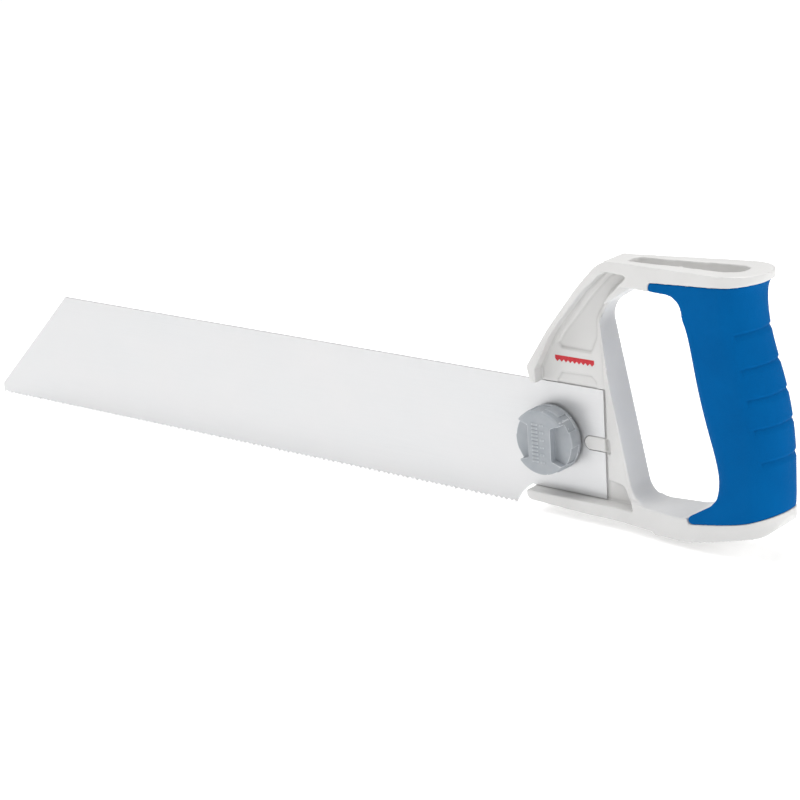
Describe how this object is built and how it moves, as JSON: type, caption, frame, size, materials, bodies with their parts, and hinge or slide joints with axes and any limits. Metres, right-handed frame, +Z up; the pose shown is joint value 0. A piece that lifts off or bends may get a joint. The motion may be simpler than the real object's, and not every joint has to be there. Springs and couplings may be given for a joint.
{
  "type": "plastic pipe saw",
  "caption": "D-handled hand saw for plastic pipe: cast frame with rubber grip, and a straight replaceable blade held on a flat seat by a clamp knob.",
  "frame": {"origin": "where the clamp axis crosses the seat that the blade lies on", "axes": "+X along the blade from its tip to the back of the handle, +Z up and away from the teeth, +Y along the clamp axis away from the knob"},
  "size_m": [0.4285, 0.0248, 0.1073],
  "materials": {
    "frame_white": "white powder coat on a die casting",
    "grip_blue": "matte soft rubber",
    "blade_steel": "pale satin coating on steel strip",
    "zinc_steel": "zinc plated",
    "insert_brass": "turned",
    "knob_grey": "satin moulded plastic"
  },
  "bodies": {
    "frame": {"handle_frame": "frame_white", "grip_sleeve": "grip_blue", "clamp_stud": "zinc_steel", "stud_ring": "zinc_steel"},
    "blade": {"blade": "blade_steel"},
    "washer": {"clamp_washer": "zinc_steel"},
    "knob": {"clamp_knob": "knob_grey", "knob_insert": "insert_brass"}
  },
  "joints": [
    {"name": "washer_travel", "type": "slide", "parent": "frame", "child": "washer", "axis": [0, -1, 0], "range_m": [0, 0.00813]},
    {"name": "knob_turn", "type": "hinge", "parent": "washer", "child": "knob", "pos_m": [0, -0.002, 0], "axis": [0, -1, 0], "range_deg": [0, 2342]},
    {"name": "blade_lift", "type": "slide", "parent": "frame", "child": "blade", "axis": [0, -1, 0], "range_m": [0, 0.00695]}
  ],
  "couplings": [
    {"joint": "knob_turn", "follows": "washer_travel", "rad_per_m": 5026.5},
    {"joint": "blade_lift", "follows": "washer_travel", "ratio": 0.85}
  ]
}
